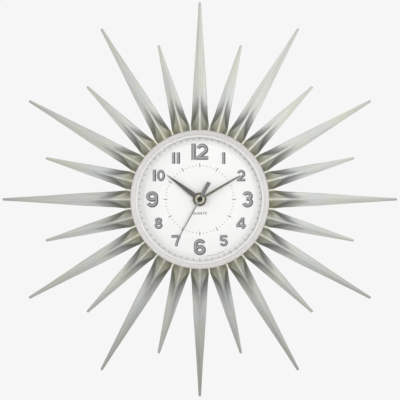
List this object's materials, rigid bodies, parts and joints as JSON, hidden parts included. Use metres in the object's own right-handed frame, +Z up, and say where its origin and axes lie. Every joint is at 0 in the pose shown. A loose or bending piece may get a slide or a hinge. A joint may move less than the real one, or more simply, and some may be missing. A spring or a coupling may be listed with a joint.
{
  "type": "sunburst wall clock",
  "caption": "Round sunburst wall clock with separate tapered rays of two lengths, a pale bezel, domed lens, dial and hands driven by a battery quartz movement.",
  "frame": {"origin": "on the hands' axis, where it meets the wall: the flat centre of the movement's rear cover, flush with the case's rear rim", "axes": "+Z up towards 12 o'clock, -Y out of the dial towards the viewer, +Y into the wall, +X towards 3 o'clock"},
  "size_m": [0.43, 0.033, 0.43],
  "materials": {
    "case_abs": "moulded",
    "bezel_pearl": "satin pearl metallised",
    "lens_clear": "clear",
    "track_pearl": "satin",
    "dial_white": "satin print",
    "clamp_black": "moulded",
    "ray_champagne": "satin champagne metallised",
    "steel_zinc": "zinc plated",
    "nut_brass": "turned",
    "movement_black": "moulded",
    "stator_steel": "stamped",
    "coil_copper": "wound wire",
    "board_green": "solder mask",
    "chip_black": "potted",
    "contact_nickel": "plated",
    "hand_second": "satin grey",
    "gear_white": "moulded acetal",
    "hand_olive": "satin",
    "hand_grey": "satin",
    "knob_white": "moulded",
    "rotor_magnet": "sintered",
    "battery_jacket": "printed sleeve"
  },
  "bodies": {
    "clock": {"case_body": "case_abs", "bezel_ring": "bezel_pearl", "lens": "lens_clear", "dial_flange": "track_pearl", "dial_plate": "dial_white", "ray_clamp_ring": "clamp_black", "clamp_screw_1": "steel_zinc", "clamp_screw_2": "steel_zinc", "clamp_screw_3": "steel_zinc", "clamp_screw_4": "steel_zinc", "ray_long_00": "ray_champagne", "ray_long_01": "ray_champagne", "ray_long_02": "ray_champagne", "ray_long_03": "ray_champagne", "ray_long_04": "ray_champagne", "ray_long_05": "ray_champagne", "ray_long_06": "ray_champagne", "ray_long_07": "ray_champagne", "ray_long_08": "ray_champagne", "ray_long_09": "ray_champagne", "ray_long_10": "ray_champagne", "ray_long_11": "ray_champagne", "ray_short_00": "ray_champagne", "ray_short_01": "ray_champagne", "ray_short_02": "ray_champagne", "ray_short_03": "ray_champagne", "ray_short_04": "ray_champagne", "ray_short_05": "ray_champagne", "ray_short_06": "ray_champagne", "ray_short_07": "ray_champagne", "ray_short_08": "ray_champagne", "ray_short_09": "ray_champagne", "ray_short_10": "ray_champagne", "ray_short_11": "ray_champagne", "hanger": "steel_zinc", "dial_washer": "steel_zinc", "fixing_nut": "nut_brass", "movement_case": "movement_black", "movement_cover": "movement_black", "stator": "stator_steel", "coil_core": "stator_steel", "coil": "coil_copper", "circuit_board": "board_green", "chip": "chip_black", "crystal": "stator_steel", "positive_contact": "contact_nickel", "negative_contact": "contact_nickel"},
    "second_train": {"second_hand": "hand_second", "second_wheel": "gear_white"},
    "minute_train": {"minute_hand": "hand_olive", "centre_wheel": "gear_white"},
    "hour_train": {"hour_hand": "hand_grey", "hour_wheel": "gear_white"},
    "third_train": {"third_wheel": "gear_white"},
    "intermediate_train": {"intermediate_wheel": "gear_white"},
    "motion_train": {"motion_wheel": "gear_white", "setting_knob": "knob_white"},
    "rotor_train": {"rotor": "rotor_magnet"},
    "battery_cell": {"battery": "battery_jacket"}
  },
  "joints": [
    {"name": "minute_spin", "type": "hinge", "parent": "clock", "child": "minute_train", "pos_m": [0, -0.025, 0], "axis": [0, 1, 0], "continuous": true},
    {"name": "second_spin", "type": "hinge", "parent": "clock", "child": "second_train", "pos_m": [0, -0.0265, 0], "axis": [0, 1, 0], "continuous": true},
    {"name": "hour_spin", "type": "hinge", "parent": "clock", "child": "hour_train", "pos_m": [0, -0.024, 0], "axis": [0, 1, 0], "continuous": true},
    {"name": "third_wheel_spin", "type": "hinge", "parent": "clock", "child": "third_train", "pos_m": [-0.01182, -0.007, 0.00317], "axis": [0, 1, 0], "continuous": true},
    {"name": "intermediate_wheel_spin", "type": "hinge", "parent": "clock", "child": "intermediate_train", "pos_m": [0.00772, -0.006, 0.00648], "axis": [0, 1, 0], "continuous": true},
    {"name": "rotor_spin", "type": "hinge", "parent": "clock", "child": "rotor_train", "pos_m": [0.0108, -0.009, 0.01494], "axis": [0, 1, 0], "continuous": true},
    {"name": "motion_wheel_spin", "type": "hinge", "parent": "clock", "child": "motion_train", "pos_m": [0.01239, -0.01, -0.00152], "axis": [0, 1, 0], "continuous": true},
    {"name": "battery_lift_out", "type": "slide", "parent": "clock", "child": "battery_cell", "axis": [0, 1, 0], "range_m": [0, 0.03]}
  ],
  "couplings": [
    {"joint": "second_spin", "follows": "minute_spin", "ratio": 60},
    {"joint": "hour_spin", "follows": "minute_spin", "ratio": 0.083333},
    {"joint": "third_wheel_spin", "follows": "minute_spin", "ratio": -8},
    {"joint": "intermediate_wheel_spin", "follows": "minute_spin", "ratio": -360},
    {"joint": "rotor_spin", "follows": "minute_spin", "ratio": 1800},
    {"joint": "motion_wheel_spin", "follows": "minute_spin", "ratio": -0.33333}
  ]
}
